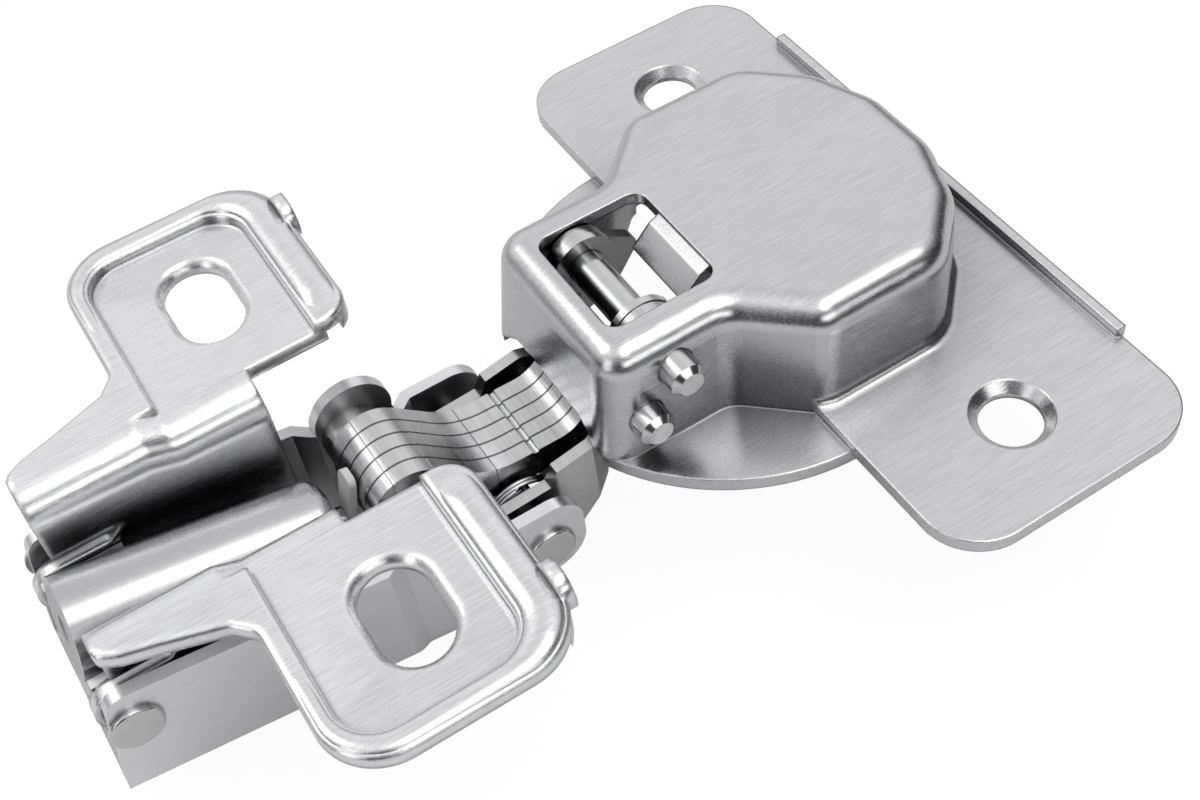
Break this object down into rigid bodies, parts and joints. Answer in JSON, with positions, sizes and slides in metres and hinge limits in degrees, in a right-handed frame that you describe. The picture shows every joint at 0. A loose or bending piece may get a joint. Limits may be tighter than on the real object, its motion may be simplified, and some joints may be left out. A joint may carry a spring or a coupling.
{
  "type": "concealed cup hinge",
  "caption": "Concealed cabinet hinge with a drilled-in cup, a laminated folding link, a soft-close damper in its arm and two slotted ears for a face frame.",
  "frame": {"origin": "midway between the two mounting slots, on the upper face of the ears' pads", "axes": "+X from the frame towards the door, +Y along the pivot axes, +Z into the frame's wood and, at rest, along the cup's boss"},
  "size_m": [0.0778, 0.0612, 0.0231],
  "materials": {
    "plated_steel": "nickel plated, finely brushed",
    "arm_steel": "nickel plated, satin",
    "cup_steel": "nickel plated, satin, drawn",
    "link_steel": "nickel plated, stamped",
    "pin_steel": "nickel plated, turned",
    "damper_steel": "nickel plated, drawn tube",
    "bracket_steel": "nickel plated, satin",
    "spring_steel": "bright drawn wire",
    "damper_plastic": "satin grey",
    "driver_plastic": "satin pale grey",
    "seal_rubber": "matt black"
  },
  "bodies": {
    "frame": {"frame_plate": "plated_steel", "arm_channel": "arm_steel", "rear_rivet_near": "pin_steel", "rear_rivet_far": "pin_steel", "side_screw": "pin_steel", "damper_cylinder": "damper_steel", "damper_end_cap": "damper_plastic", "damper_seal": "seal_rubber", "damper_bracket": "bracket_steel", "link_pin": "pin_steel", "link_spacer_near": "pin_steel", "link_spacer_far": "pin_steel", "outer_link_rivet": "pin_steel", "closing_spring": "spring_steel"},
    "link": {"link_plate_1": "link_steel", "link_plate_2": "link_steel", "link_plate_3": "link_steel", "link_plate_4": "link_steel", "link_plate_5": "link_steel"},
    "cup": {"cup": "cup_steel", "cup_pin_upper": "pin_steel", "cup_pin_lower": "pin_steel"},
    "outer_link": {"outer_link": "link_steel", "outer_link_bush_near": "pin_steel", "outer_link_bush_far": "pin_steel"},
    "damper_rod": {"damper_rod": "pin_steel", "damper_driver": "driver_plastic"}
  },
  "joints": [
    {"name": "link_swing", "type": "hinge", "parent": "frame", "child": "link", "pos_m": [0.0054, 0, -0.0094], "axis": [0, 1, 0], "range_deg": [-42, 0]},
    {"name": "cup_fold", "type": "hinge", "parent": "link", "child": "cup", "pos_m": [0.02295, 0, -0.0055], "axis": [0, 1, 0], "range_deg": [0, 132]},
    {"name": "outer_swing", "type": "hinge", "parent": "cup", "child": "outer_link", "pos_m": [0.0258, 0, -0.002], "axis": [0, 1, 0], "range_deg": [-114, 0]},
    {"name": "damper_stroke", "type": "slide", "parent": "frame", "child": "damper_rod", "axis": [-0.9781, 0, 0.2079], "range_m": [0, 0.001]}
  ],
  "couplings": [
    {"joint": "link_swing", "follows": "cup_fold", "ratio": -0.31818},
    {"joint": "outer_swing", "follows": "cup_fold", "ratio": -0.8636},
    {"joint": "damper_stroke", "follows": "cup_fold", "m_per_rad": 0.000434}
  ]
}
